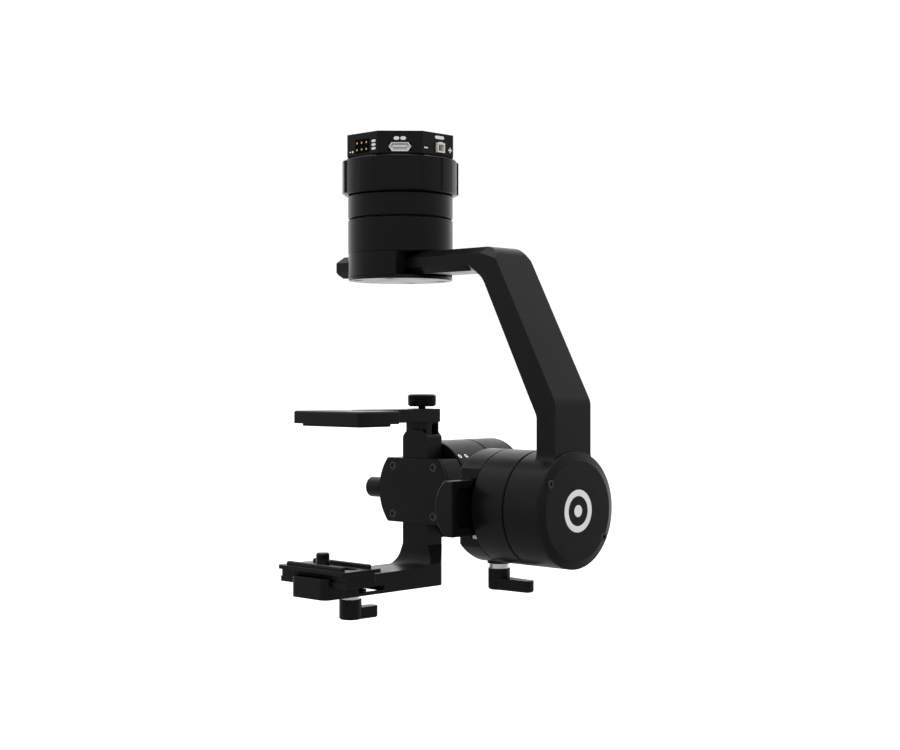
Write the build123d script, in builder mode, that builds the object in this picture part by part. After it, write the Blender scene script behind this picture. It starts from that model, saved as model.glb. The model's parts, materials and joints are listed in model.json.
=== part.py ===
from build123d import *
import math
import os

os.makedirs("parts", exist_ok=True)

# A three-axis brushless camera gimbal that hangs under a multirotor.
# Millimetres, +Z up. The origin is the centre of the top mounting face, on the pan axis.
# X runs along the tilt axis towards the camera plate, Y along the roll axis to the rear.

# ------------------------------------------------------------------ driving dimensions
WALL = 1.8                    # motor cases and head walls
SLIDE = 0.25                  # clearance around a bar that slides in its clamp
RUN = 0.05                    # radial clearance of a turning fit
RIM = 0.4                     # broken edges of the turned cases

# head, down the pan axis
HEAD_FLATS = 40.2             # octagon, across flats
HEAD_LOW = -8.6
FLOOR_Z = -7.9                # inner floor of the head
LID_T = 1.6
SIGNAL_Z = -5.0               # centre heights of the three connectors
USB_Z = -6.0
POWER_Z = -5.5
POWER_SIDE = 0.85
SIGNAL_HALF = (3.81, 2.54)    # 3 by 2 ways at 2.54 mm
PIN_PITCH = 2.54
MOUNT_PCD = 24.0              # four M3 holes in the lid
M3_TAP_R = 1.25

# lock ring
RING_LOW = -22.3
RING_R = 21.65
RIB_R = 22.3
RIB_COUNT = 8
RIB_PHASE = 9.3               # azimuth of the first rib, degrees
SLEEVE_R = 16.6

# motors: case radius, seam, and lengths on the rotor and the stator side
SEAM = 0.4                    # open joint between rotor and stator cases
MAGNET_T = 1.7
AIR_GAP = 0.4
SLOTS = 12
POLES = 14
SHAFT_R = 2.0
BEARING_R = 4.55
HUB_R = 6.0
PAN_R = 20.1
PAN_SEAM_Z = -31.4
PAN_ROTOR = 13.2
PAN_STATOR = 9.1
ROLL_R = 20.4
ROLL_Z = -137.8
ROLL_SEAM_Y = 70.6
ROLL_ROTOR = 14.7
ROLL_STATOR = 15.6
ROLL_WEB = 9.6
TILT_R = 19.1
TILT_Z = -135.6
TILT_SEAM_X = -36.3
TILT_ROTOR = 19.3
TILT_STATOR = 15.2
TILT_WEB = 9.8

# pan clamp and pan arm
CLAMP_R = 19.95
CLAMP_LOW = -53.4
CLAMP_FLAT_Y = 12.9
CLAMP_PLATE_T = 1.3
BAR_X = 9.65                  # half width of the arm
BAR_TOP = -44.8
BAR_LOW = -53.1
BAR_BEVEL = 2.4
LEG_FRONT_Y = 77.0
LEG_REAR_Y = 85.5
LEG_FOOT_Z = -112.0

# roll carriage
ROLL_BLOCK_X = 15.0           # half width across the two flats
ROLL_BLOCK_FRONT = 46.5
ROLL_BLOCK_REAR = 55.9
ROLL_COVER_T = 0.8
ROLL_LEVER_Y = 51.0
ROLL_BOSS_LOW = -158.7

# roll bar, a D section along X
DBAR_Z = -137.5
DBAR_HALF = 9.75
DBAR_REAR = 54.9
DBAR_SHOULDER = 51.2
DBAR_APEX = 46.6
DBAR_END_X = 29.0
LEG_OUT_X = -51.5             # outer face of the leg that carries the tilt motor
LEG_IN_X = -38.0

# tilt carriage
TILT_BLOCK_R = 18.7
TILT_BLOCK_HALF = 12.5        # half height between its flats
TILT_BLOCK_X = -7.5
TILT_COVER_T = 1.2
TILT_BACK_X = -17.0

# camera cage
POST_FRONT = -7.75
POST_REAR = -15.9
POST_Y = 6.65
POST_TOP = -111.9
POST_SHOULDER = -114.6
ARM_Y = 9.65
ARM_TOP = -164.3
ARM_LOW = -171.9
ARM_END_X = 47.3
ARM_BACK_X = -16.0
LEVER_X = 26.1
CHANNEL_X = (29.95, 44.55)
CHANNEL_FLOOR = -167.4
POCKET_TOP = -168.8

# quick release plate
PLATE_X = 37.3
PLATE_Y = 18.4
PLATE_EDGE_X = (27.3, 45.9)
PLATE_TOP = -161.1
PLATE_LOW = -167.3
SCREW_R = 2.5
SCREW_NECK_R = 2.3
SCREW_Y = -2.8

# top clamp
JAW_X = (17.6, 38.7)
JAW_Y = 18.6
JAW_TOP = -104.1
JAW_LOW = -108.85
JAW_PAD_T = 1.0
JAW_PAD_INSET = 2.4
CLAMP_BACK_X = -16.3
NECK = (-15.15, -8.65)
NECK_LOW = -126.3
THUMB_X = -11.7
THUMB_R = 5.45

PAN_FRAME = Plane(origin=(0, 0, PAN_SEAM_Z), x_dir=(1, 0, 0), z_dir=(0, 0, 1))
ROLL_FRAME = Plane(origin=(0, ROLL_SEAM_Y, ROLL_Z), x_dir=(-1, 0, 0), z_dir=(0, 1, 0))
TILT_FRAME = Plane(origin=(TILT_SEAM_X, 0, TILT_Z), x_dir=(0, -1, 0), z_dir=(-1, 0, 0))


# ------------------------------------------------------------------ small helpers
def save(builder, label):
    """Name a finished piece and write it as its own STEP file."""
    builder.part.label = label
    export_step(builder.part, f"parts/{label}.step")


def disc(plane, start, end, outer, inner=0.0, mode=Mode.ADD):
    """A disc or ring between two heights over a plane, in the open part."""
    with BuildSketch(plane.offset(start)) as profile:
        Circle(outer)
        if inner:
            Circle(inner, mode=Mode.SUBTRACT)
    extrude(profile.sketch, amount=end - start, mode=mode)


def turned(plane, start, end, radius, start_rim=RIM, end_rim=RIM):
    """A turned disc whose two outer rims are chamfered."""
    half = Plane(origin=plane.origin, x_dir=plane.x_dir, z_dir=-plane.y_dir)
    corners = [
        (0, start),
        (radius - start_rim, start),
        (radius, start + start_rim),
        (radius, end - end_rim),
        (radius - end_rim, end),
        (0, end),
    ]
    outline = [at for index, at in enumerate(corners) if at != corners[index - 1]]
    with BuildSketch(half) as profile:
        with BuildLine():
            Polyline(*outline, close=True)
        make_face()
    revolve(profile.sketch, axis=Axis(plane.origin, plane.z_dir))


def block(plane, start, end, low, high, mode=Mode.ADD):
    """A rectangular block over a plane, between two corners of its outline."""
    with BuildSketch(plane.offset(start)) as profile:
        with Locations(((low[0] + high[0]) / 2, (low[1] + high[1]) / 2)):
            Rectangle(high[0] - low[0], high[1] - low[1])
    extrude(profile.sketch, amount=end - start, mode=mode)


def slab(plane, start, end, corners, mode=Mode.ADD):
    """A prism between two heights over a plane, from its outline's corners."""
    with BuildSketch(plane.offset(start)) as profile:
        with BuildLine():
            Polyline(*corners, close=True)
        make_face()
    extrude(profile.sketch, amount=end - start, mode=mode)


def octagon(start, end, flats, mode=Mode.ADD):
    """An octagonal prism with facets square to X and to Y."""
    with BuildSketch(Plane.XY.offset(start)) as profile:
        RegularPolygon(flats / 2, 8, major_radius=False, rotation=22.5)
    extrude(profile.sketch, amount=end - start, mode=mode)


def drill(plane, points, radius, depth, mode=Mode.SUBTRACT):
    """Round holes below a plane, or pegs with Mode.ADD."""
    with BuildSketch(plane) as profile:
        with Locations(*points):
            Circle(radius)
    extrude(profile.sketch, amount=-depth, mode=mode)


def break_rims(builder, radius, size):
    """Chamfer the whole circular rims that have the given radius."""
    rims = builder.edges().filter_by(
        lambda e: e.geom_type == GeomType.CIRCLE and abs(e.length - 2 * math.pi * radius) < 0.1
    )
    chamfer(rims, length=size)


def screw_set(label, plane, points, head_r, head_h, shank_r, shank_l):
    """Socket head screws: the heads stand on the plane, the shanks go below it."""
    with BuildPart() as screws:
        drill(plane.offset(head_h), points, head_r, head_h, mode=Mode.ADD)
        drill(plane, points, shank_r, shank_l, mode=Mode.ADD)
        with BuildSketch(plane.offset(head_h)) as sockets:
            with Locations(*points):
                RegularPolygon(head_r * 0.52, 6)
        extrude(sockets.sketch, amount=-head_h * 0.7, mode=Mode.SUBTRACT)
    save(screws, label)


def lever(label, plane, hub_r, hub_h, reach, width, height, shank_l):
    """A cam lever: a round hub on a plane, a handle along local +X, a screw below."""
    with BuildPart() as part:
        disc(plane, 0, hub_h, hub_r)
        with BuildSketch(plane.offset(hub_h - height)) as grip:
            with BuildLine():
                tip = width / 2 - 0.4
                FilletPolyline(
                    (0, -hub_r + 0.6),
                    (reach, -tip),
                    (reach, tip),
                    (0, hub_r - 0.6),
                    radius=tip * 0.8,
                )
                Line((0, hub_r - 0.6), (0, -hub_r + 0.6))
            make_face()
        extrude(grip.sketch, amount=height)
        end_face = part.faces().sort_by(Axis(plane.origin, plane.z_dir))[-1]
        chamfer(end_face.outer_wire().edges(), length=0.5)
        drill(plane, [(0, 0)], 1.5, shank_l, mode=Mode.ADD)
    save(part, label)


def washer(label, plane, thickness, outer, inner):
    """A plain washer standing on a plane."""
    with BuildPart() as part:
        disc(plane, 0, thickness, outer, inner)
    save(part, label)


# ------------------------------------------------------------------ motor internals
def hub_tube(frame, floor, web):
    """The stator's bearing tube, from just over the rotor floor to the stator web."""
    disc(frame, floor + 0.9, web, HUB_R, BEARING_R + 0.02)


def rotor_cup(frame, case_r, length):
    """A rotor case: a cup that opens towards the seam, drilled for the shaft."""
    disc(frame, -length, -SEAM / 2, case_r, SHAFT_R + 0.02)
    disc(frame, -length + WALL, -SEAM / 2, case_r - WALL, mode=Mode.SUBTRACT)


def motor_inside(name, frame, case_r, length, web):
    """Core, windings, bearings, magnets and shaft of an outrunner motor.

    The frame lies on the seam and faces the stator. Length is the rotor case's
    length and web is the height of the stator's web, both from the seam.
    """
    floor = -length + WALL
    magnet_in = case_r - WALL - MAGNET_T
    tip_r = magnet_in - AIR_GAP
    core_low = floor + 2.3
    core_high = web - 3.4
    core_t = core_high - core_low

    with BuildPart() as core:
        with BuildSketch(frame.offset(core_low)) as laminations:
            Circle(tip_r)
            Circle(tip_r - 1.3, mode=Mode.SUBTRACT)
            with PolarLocations(tip_r, SLOTS, start_angle=15):
                Rectangle(4.0, 1.2, mode=Mode.SUBTRACT)
            with PolarLocations((tip_r + 6.2) / 2, SLOTS):
                Rectangle(tip_r - 1.0 - 6.2, 2.0)
            Circle(8.0)
            Circle(HUB_R + 0.02, mode=Mode.SUBTRACT)
        extrude(laminations.sketch, amount=core_t)
    save(core, f"{name}_stator_core")

    coil_in = 8.3
    coil_out = tip_r - 1.5
    with BuildPart() as windings:
        with BuildSketch(frame.offset(core_low - 0.9)) as coils:
            with PolarLocations((coil_in + coil_out) / 2, SLOTS):
                Rectangle(coil_out - coil_in, 3.8)
        extrude(coils.sketch, amount=core_t + 1.8)
        with BuildSketch(frame.offset(core_low - 0.02)) as teeth:
            with PolarLocations((coil_in + coil_out) / 2, SLOTS):
                Rectangle(coil_out - coil_in + 1, 2.04)
        extrude(teeth.sketch, amount=core_t + 0.04, mode=Mode.SUBTRACT)
    save(windings, f"{name}_windings")

    with BuildPart() as bearings:
        for low in (floor + 1.0, web - 2.6):
            disc(frame, low, low + 2.5, BEARING_R, SHAFT_R + RUN)
    save(bearings, f"{name}_bearings")

    with BuildPart() as magnets:
        with BuildSketch(frame.offset(floor)) as poles:
            Circle(magnet_in + MAGNET_T - 0.02)
            Circle(magnet_in, mode=Mode.SUBTRACT)
            with PolarLocations(case_r, POLES, start_angle=180 / POLES):
                Rectangle(8.0, 0.8, mode=Mode.SUBTRACT)
        extrude(poles.sketch, amount=length - WALL - 2.0)
    save(magnets, f"{name}_magnets")

    with BuildPart() as shaft:
        disc(frame, -length, web - 0.2, SHAFT_R)
        disc(frame, floor, floor + 0.6, 3.6)
    save(shaft, f"{name}_shaft")


# ------------------------------------------------------------------ head
def facet(angle, height, side=0.0):
    """The plane at a connector's centre that faces a head facet."""
    turn = math.radians(angle)
    outward = (math.cos(turn), math.sin(turn), 0)
    sideways = (-math.sin(turn), math.cos(turn), 0)
    origin = (side * sideways[0], side * sideways[1], height)
    return Plane(origin=origin, x_dir=sideways, z_dir=outward)


SIGNAL_FACET = facet(0, SIGNAL_Z)
USB_FACET = facet(45, USB_Z)
POWER_FACET = facet(90, POWER_Z, POWER_SIDE)
WALL_OUT = HEAD_FLATS / 2
USB_SHELL = [(-4.2, 0.1), (-3.2, 1.65), (3.2, 1.65), (4.2, 0.1), (3.0, -1.65), (-3.0, -1.65)]
mount_corner = MOUNT_PCD / 2 * math.cos(math.radians(45))
MOUNT_POINTS = [(x * mount_corner, y * mount_corner) for x in (-1, 1) for y in (-1, 1)]
LID_SCREWS = [(14.6, 0), (0, 14.6), (-14.6, 0), (0, -14.6)]

with BuildPart() as housing:
    octagon(HEAD_LOW, 0, HEAD_FLATS)
    vertical = housing.edges().filter_by(Axis.Z)
    chamfer(vertical, length=0.3)
    chamfer(housing.faces().sort_by(Axis.Z)[0].outer_wire().edges(), length=RIM)
    octagon(FLOOR_Z, -LID_T, HEAD_FLATS - 5.8, mode=Mode.SUBTRACT)
    octagon(-LID_T, 0, HEAD_FLATS - 3.0, mode=Mode.SUBTRACT)
    disc(Plane.XY, HEAD_LOW, FLOOR_Z, 5.0, mode=Mode.SUBTRACT)
    block(SIGNAL_FACET, 16, 21, (-3.9, -2.6), (3.9, 2.6), mode=Mode.SUBTRACT)
    block(USB_FACET, 16, 21, (-4.3, -1.75), (4.3, 1.75), mode=Mode.SUBTRACT)
    block(POWER_FACET, 16, 21, (-2.05, -1.9), (2.05, 2.2), mode=Mode.SUBTRACT)
save(housing, "head_housing")

with BuildPart() as lid:
    octagon(-LID_T, 0, HEAD_FLATS - 3.2)
    drill(Plane.XY.offset(-LID_T), MOUNT_POINTS, 2.7, 3.4, mode=Mode.ADD)
    chamfer(lid.faces().sort_by(Axis.Z)[-1].outer_wire().edges(), length=0.3)
    drill(Plane.XY, MOUNT_POINTS, M3_TAP_R, 4.4)
    drill(Plane.XY, LID_SCREWS, 1.75, 0.9)
    drill(Plane.XY, LID_SCREWS, 0.9, LID_T)
save(lid, "head_lid")
screw_set("head_lid_screws", Plane.XY.offset(-0.9), LID_SCREWS, 1.6, 0.8, 0.8, 1.4)

with BuildPart() as board:
    octagon(FLOOR_Z, FLOOR_Z + 1.0, 31.0)
    block(Plane.XY, FLOOR_Z + 1.0, FLOOR_Z + 2.0, (-3.5, -4.0), (3.5, 3.0))
    block(Plane.XY, FLOOR_Z + 1.0, FLOOR_Z + 1.9, (-9.0, -2.5), (-5.5, 2.5))
save(board, "control_board")

with BuildPart() as usb:
    slab(USB_FACET, 15.9, WALL_OUT + 0.1, USB_SHELL)
    inner = [(x * 0.91, y * 0.8) for x, y in USB_SHELL]
    slab(USB_FACET, 16.4, WALL_OUT + 0.1, inner, mode=Mode.SUBTRACT)
    block(USB_FACET, 16.2, 19.4, (-2.5, 0.1), (2.5, 0.7))
save(usb, "usb_socket")

with BuildPart() as signal:
    low = (-SIGNAL_HALF[0], -SIGNAL_HALF[1])
    block(SIGNAL_FACET, 15.8, WALL_OUT + 0.1, low, SIGNAL_HALF)
    pin_grid = [(x * PIN_PITCH, y * PIN_PITCH / 2) for x in (-1, 0, 1) for y in (-1, 1)]
    with BuildSketch(SIGNAL_FACET.offset(15.8)) as pin_ways:
        with Locations(*pin_grid):
            Rectangle(0.7, 0.7)
    extrude(pin_ways.sketch, amount=5, mode=Mode.SUBTRACT)
save(signal, "signal_header")

with BuildPart() as power:
    block(POWER_FACET, 15.8, WALL_OUT + 1.0, (-1.95, -1.8), (1.95, 1.8))
    block(POWER_FACET, 17.4, WALL_OUT + 1.0, (-0.9, 1.8), (0.9, 2.1))
    block(POWER_FACET, 17.0, WALL_OUT + 1.0, (-1.45, -1.3), (1.45, 1.2), mode=Mode.SUBTRACT)
    with BuildSketch(POWER_FACET.offset(15.8)) as power_ways:
        with Locations((-0.65, 0), (0.65, 0)):
            Rectangle(0.5, 0.5)
    extrude(power_ways.sketch, amount=2, mode=Mode.SUBTRACT)
save(power, "power_socket")

with BuildPart() as pins:
    with BuildSketch(SIGNAL_FACET.offset(15.2)) as signal_pins:
        with Locations(*pin_grid):
            Rectangle(0.64, 0.64)
    extrude(signal_pins.sketch, amount=WALL_OUT + 0.3 - 15.2)
    with BuildSketch(POWER_FACET.offset(15.2)) as power_pins:
        with Locations((-0.65, 0), (0.65, 0)):
            Rectangle(0.44, 0.44)
    extrude(power_pins.sketch, amount=4.6)
save(pins, "connector_pins")

PAN_WEB = PAN_STATOR - WALL
with BuildPart() as pan_stator:
    disc(PAN_FRAME, SEAM / 2, PAN_STATOR, PAN_R, PAN_R - WALL)
    break_rims(pan_stator, PAN_R, RIM)
    disc(PAN_FRAME, PAN_WEB, PAN_STATOR, PAN_R - WALL / 2, BEARING_R - 1.0)
    disc(PAN_FRAME, PAN_STATOR, HEAD_LOW - PAN_SEAM_Z, SLEEVE_R, SLEEVE_R - 2.0)
    hub_tube(PAN_FRAME, -PAN_ROTOR + WALL, PAN_WEB)
save(pan_stator, "pan_stator_case")
motor_inside("pan", PAN_FRAME, PAN_R, PAN_ROTOR, PAN_WEB)

# ------------------------------------------------------------------ lock ring
with BuildPart() as ring:
    disc(Plane.XY, RING_LOW + 0.15, HEAD_LOW - 0.15, RING_R)
    chamfer(ring.edges().filter_by(GeomType.CIRCLE), length=0.5)
    with BuildSketch(Plane.XY.offset(RING_LOW + 0.7)) as ribs:
        for index in range(RIB_COUNT):
            with BuildLine(Plane.XY.rotated((0, 0, RIB_PHASE + index * 360 / RIB_COUNT))):
                foot = math.radians(9.4)
                crest = math.radians(7.9)
                foot_x = (RING_R - 0.6) * math.cos(foot)
                foot_y = (RING_R - 0.6) * math.sin(foot)
                crest_x = RIB_R * math.cos(crest)
                crest_y = RIB_R * math.sin(crest)
                Line((foot_x, -foot_y), (crest_x, -crest_y))
                ThreePointArc((crest_x, -crest_y), (RIB_R, 0), (crest_x, crest_y))
                Line((crest_x, crest_y), (foot_x, foot_y))
                Line((foot_x, foot_y), (foot_x, -foot_y))
            make_face()
    extrude(ribs.sketch, amount=HEAD_LOW - RING_LOW - 1.4)
    disc(Plane.XY, RING_LOW, HEAD_LOW, SLEEVE_R + RUN, mode=Mode.SUBTRACT)
save(ring, "lock_ring")

# ------------------------------------------------------------------ pan carriage
CLAMP_TOP = PAN_SEAM_Z - PAN_ROTOR
PLATE_SCREWS = [(x * 14.0, y * 8.5) for x in (-1, 1) for y in (-1, 1)]
with BuildPart() as pan_rotor:
    rotor_cup(PAN_FRAME, PAN_R, PAN_ROTOR)
    break_rims(pan_rotor, PAN_R, RIM)
    disc(Plane.XY, CLAMP_LOW, CLAMP_TOP, CLAMP_R)
    block(Plane.XY, CLAMP_LOW, CLAMP_TOP, (-25, CLAMP_FLAT_Y), (25, 25), mode=Mode.SUBTRACT)
    way_x = BAR_X + SLIDE
    way_top = [
        (-way_x, CLAMP_LOW),
        (way_x, CLAMP_LOW),
        (way_x, BAR_TOP - BAR_BEVEL),
        (way_x - BAR_BEVEL, CLAMP_TOP),
        (-way_x + BAR_BEVEL, CLAMP_TOP),
        (-way_x, BAR_TOP - BAR_BEVEL),
    ]
    slab(Plane.XZ, -25, 25, way_top, mode=Mode.SUBTRACT)
    disc(PAN_FRAME, -PAN_ROTOR, -PAN_ROTOR + WALL, SHAFT_R + 2.0, SHAFT_R + 0.02)
    drill(Plane(origin=(0, 0, CLAMP_LOW), z_dir=(0, 0, -1)), PLATE_SCREWS, 1.05, 5.0)
save(pan_rotor, "pan_rotor_case")

PLATE_FACE = Plane(origin=(0, 0, CLAMP_LOW - CLAMP_PLATE_T), x_dir=(1, 0, 0), z_dir=(0, 0, -1))
with BuildPart() as clamp_plate:
    disc(Plane.XY, CLAMP_LOW - CLAMP_PLATE_T, CLAMP_LOW, CLAMP_R)
    break_rims(clamp_plate, CLAMP_R, 0.25)
    drill(PLATE_FACE, PLATE_SCREWS, 1.75, 0.8)
    drill(PLATE_FACE, PLATE_SCREWS, 1.1, CLAMP_PLATE_T)
save(clamp_plate, "pan_clamp_plate")
screw_set("pan_clamp_screws", PLATE_FACE.offset(-0.8), PLATE_SCREWS, 1.6, 0.7, 1.0, 5.0)

# ------------------------------------------------------------------ pan arm
ELBOW_TOP_Y = 55.4
ELBOW_LOW_Y = 50.0
BEND_REAR_Z = -100.2
BEND_FRONT_Z = -105.1
FACET_Y = 52.3                # where the top bevels meet the elbow's two facets
FACET_TURN = (1.0, 0.24, 0.80)
LOW_BEVEL_Y = 44.0            # the lower bevels run out from here
LOW_RUN = (5.0, -3.3)
ROLL_CAP_T = 1.5
CAP_POST = ROLL_STATOR - ROLL_WEB - WALL
ROLL_CAP_FLAT_R = 17.3
LUG_Y = -26.0
with BuildPart() as arm:
    side = [
        (LUG_Y, BAR_LOW + 1.4),
        (LUG_Y, BAR_TOP - 2.0),
        (LUG_Y + 2.0, BAR_TOP),
        (ELBOW_TOP_Y, BAR_TOP),
        (LEG_REAR_Y, BEND_REAR_Z),
        (LEG_REAR_Y, LEG_FOOT_Z - 2),
        (LEG_FRONT_Y, LEG_FOOT_Z - 2),
        (LEG_FRONT_Y, BEND_FRONT_Z),
        (ELBOW_LOW_Y, BAR_LOW),
        (LUG_Y + 1.4, BAR_LOW),
    ]
    with BuildSketch(Plane.YZ.offset(-BAR_X)) as arm_side:
        with BuildLine():
            Polyline(*side, close=True)
        make_face()
        fillet(arm_side.vertices().sort_by_distance((ELBOW_LOW_Y, BAR_LOW, 0))[0], radius=9.0)
        fillet(arm_side.vertices().sort_by_distance((ELBOW_TOP_Y, BAR_TOP, 0))[0], radius=6.0)
        fillet(arm_side.vertices().sort_by_distance((LEG_REAR_Y, BEND_REAR_Z, 0))[0], radius=6.0)
        fillet(arm_side.vertices().sort_by_distance((LEG_FRONT_Y, BEND_FRONT_Z, 0))[0], radius=4.0)
    extrude(amount=2 * BAR_X)
    for side_x in (-1, 1):
        inner_x = side_x * (BAR_X - BAR_BEVEL)
        outer_x = side_x * (BAR_X + BAR_BEVEL)
        top_wedge = [(inner_x, BAR_TOP), (outer_x, BAR_TOP), (outer_x, BAR_TOP - 2 * BAR_BEVEL)]
        slab(Plane.XZ, -60, 30, top_wedge, mode=Mode.SUBTRACT)
        low_wedge = [(inner_x, BAR_LOW), (outer_x, BAR_LOW), (outer_x, BAR_LOW + 2 * BAR_BEVEL)]
        slab(Plane.XZ, -LOW_BEVEL_Y, 30, low_wedge, mode=Mode.SUBTRACT)
        facet_out = (side_x * FACET_TURN[0], FACET_TURN[1], FACET_TURN[2])
        elbow_facet = Plane(origin=(inner_x, FACET_Y, BAR_TOP), z_dir=facet_out)
        block(elbow_facet, 0, 8, (-12, -12), (12, 12), mode=Mode.SUBTRACT)
        run_out = Plane(
            origin=(side_x * BAR_X, LOW_BEVEL_Y, BAR_LOW + BAR_BEVEL),
            x_dir=(0, LOW_RUN[0], LOW_RUN[1]),
            z_dir=(side_x * LOW_RUN[0], LOW_RUN[1], -LOW_RUN[0]),
        )
        block(run_out, 0, 6, (0, -5), (math.hypot(*LOW_RUN), 5), mode=Mode.SUBTRACT)
    with BuildSketch(Plane.XZ.offset(-LEG_REAR_Y)) as foot_sketch:
        with Locations((0, ROLL_Z)):
            Circle(ROLL_R)
        with Locations((0, (LEG_FOOT_Z + ROLL_Z) / 2)):
            Rectangle(2 * BAR_X, LEG_FOOT_Z - ROLL_Z)
        join_z = ROLL_Z + math.sqrt(ROLL_R**2 - BAR_X**2)
        inner_corners = foot_sketch.vertices().filter_by(lambda v: abs(v.Y - join_z) < 0.1)
        fillet(inner_corners, radius=3.0)
    extrude(amount=LEG_REAR_Y - LEG_FRONT_Y)
    turned(ROLL_FRAME, SEAM / 2, LEG_FRONT_Y - ROLL_SEAM_Y, ROLL_R, end_rim=0)
    turned(ROLL_FRAME, LEG_REAR_Y - ROLL_SEAM_Y, ROLL_STATOR, ROLL_R, start_rim=0)
    disc(ROLL_FRAME, SEAM / 2, ROLL_STATOR, ROLL_R - WALL, mode=Mode.SUBTRACT)
    disc(ROLL_FRAME, ROLL_WEB, ROLL_WEB + WALL, ROLL_R - WALL / 2, BEARING_R - 1.0)
    hub_tube(ROLL_FRAME, -ROLL_ROTOR + WALL, ROLL_WEB)
    cap_points = [(-14.4, 10.0), (14.4, -10.0)]
    drill(ROLL_FRAME.offset(ROLL_STATOR), cap_points, 2.6, CAP_POST, mode=Mode.ADD)
    drill(ROLL_FRAME.offset(ROLL_STATOR), cap_points, 0.75, CAP_POST)
save(arm, "pan_arm")
motor_inside("roll", ROLL_FRAME, ROLL_R, ROLL_ROTOR, ROLL_WEB)

with BuildPart() as roll_cap:
    disc(ROLL_FRAME, ROLL_STATOR, ROLL_STATOR + ROLL_CAP_T, ROLL_R)
    rear_rim = roll_cap.faces().sort_by(Axis.Y)[-1].outer_wire().edges()
    chamfer(rear_rim, length=ROLL_CAP_T - 0.3, length2=ROLL_R - ROLL_CAP_FLAT_R)
    drill(ROLL_FRAME.offset(ROLL_STATOR + ROLL_CAP_T), cap_points, 1.6, 0.7)
    drill(ROLL_FRAME.offset(ROLL_STATOR + ROLL_CAP_T), cap_points, 0.8, ROLL_CAP_T)
save(roll_cap, "roll_cap")
CAP_SEAT = ROLL_FRAME.offset(ROLL_STATOR + ROLL_CAP_T - 0.7)
screw_set("roll_cap_screws", CAP_SEAT, cap_points, 1.5, 0.65, 0.7, 3.4)

# ------------------------------------------------------------------ roll carriage
with BuildPart() as roll_rotor:
    rotor_cup(ROLL_FRAME, ROLL_R, ROLL_ROTOR)
    break_rims(roll_rotor, ROLL_R, RIM)
save(roll_rotor, "roll_rotor_case")

PAD_T = 1.6
PAD_Y = (51.3, 54.7)
FRONT_PLANE = Plane(origin=(0, 0, ROLL_Z), x_dir=(1, 0, 0), z_dir=(0, -1, 0))
COVER_SCREWS = [(x * 11.0, y * 13.4) for x in (-1, 1) for y in (-1, 1)]


def d_prism(start, end, grow=0.0, mode=Mode.ADD):
    """A D section along X, flat to the rear, grown evenly for the clamp's way."""
    half = DBAR_HALF + grow
    with BuildSketch(Plane.YZ.offset(start)) as section:
        with BuildLine():
            Line((DBAR_REAR + grow, DBAR_Z - half), (DBAR_REAR + grow, DBAR_Z + half))
            Line((DBAR_REAR + grow, DBAR_Z + half), (DBAR_SHOULDER, DBAR_Z + half))
            ThreePointArc(
                (DBAR_SHOULDER, DBAR_Z + half),
                (DBAR_APEX - grow, DBAR_Z),
                (DBAR_SHOULDER, DBAR_Z - half),
            )
            Line((DBAR_SHOULDER, DBAR_Z - half), (DBAR_REAR + grow, DBAR_Z - half))
        make_face()
    extrude(section.sketch, amount=end - start, mode=mode)


with BuildPart() as roll_block:
    disc(FRONT_PLANE, -ROLL_BLOCK_REAR, -ROLL_BLOCK_FRONT, ROLL_R)
    break_rims(roll_block, ROLL_R, 0.3)
    disc(Plane(origin=(0, ROLL_LEVER_Y, 0)), ROLL_BOSS_LOW, -150, 4.3)
    for side_x in (-1, 1):
        low = (min(side_x * ROLL_BLOCK_X, side_x * 25), -25)
        high = (max(side_x * ROLL_BLOCK_X, side_x * 25), 25)
        block(FRONT_PLANE, -60, -40, low, high, mode=Mode.SUBTRACT)
    d_prism(-20, 20, SLIDE, mode=Mode.SUBTRACT)
    pad_top = DBAR_Z - DBAR_HALF
    low = (PAD_Y[0] - 0.1, pad_top - PAD_T - 0.1)
    block(Plane.YZ, -20, 20, low, (PAD_Y[1] + 0.1, pad_top), mode=Mode.SUBTRACT)
    drill(Plane(origin=(0, ROLL_LEVER_Y, pad_top - 1)), [(0, 0)], 1.55, 15)
    drill(FRONT_PLANE.offset(-ROLL_BLOCK_FRONT), COVER_SCREWS, 0.95, 5.0)
save(roll_block, "roll_block")

with BuildPart() as roll_cover:
    disc(FRONT_PLANE, -ROLL_BLOCK_FRONT, -ROLL_BLOCK_FRONT + ROLL_COVER_T, ROLL_R - 0.4)
    for side_x in (-1, 1):
        low = (min(side_x * ROLL_BLOCK_X, side_x * 25), -25)
        high = (max(side_x * ROLL_BLOCK_X, side_x * 25), 25)
        block(FRONT_PLANE, -60, -40, low, high, mode=Mode.SUBTRACT)
    drill(FRONT_PLANE.offset(-45.7), COVER_SCREWS, 1.55, 0.5)
    drill(FRONT_PLANE.offset(-45.7), COVER_SCREWS, 1.0, 2.0)
save(roll_cover, "roll_cover_plate")
screw_set("roll_cover_screws", FRONT_PLANE.offset(-46.2), COVER_SCREWS, 1.45, 0.45, 0.9, 4.5)

with BuildPart() as roll_pad:
    low = (PAD_Y[0], pad_top - PAD_T)
    block(Plane.YZ, -14.6, 14.6, low, (PAD_Y[1], pad_top - SLIDE))
save(roll_pad, "roll_clamp_pad")

ROLL_LEVER_PLANE = Plane(
    origin=(0, ROLL_LEVER_Y, ROLL_BOSS_LOW - 1.8), x_dir=(0, 1, 0), z_dir=(0, 0, -1)
)
lever("roll_lever", ROLL_LEVER_PLANE, 4.0, 7.6, 15.5, 5.0, 4.2, 11.2)
washer("roll_lever_washer", ROLL_LEVER_PLANE.offset(-1.7), 1.7, 3.6, 1.55)

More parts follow.
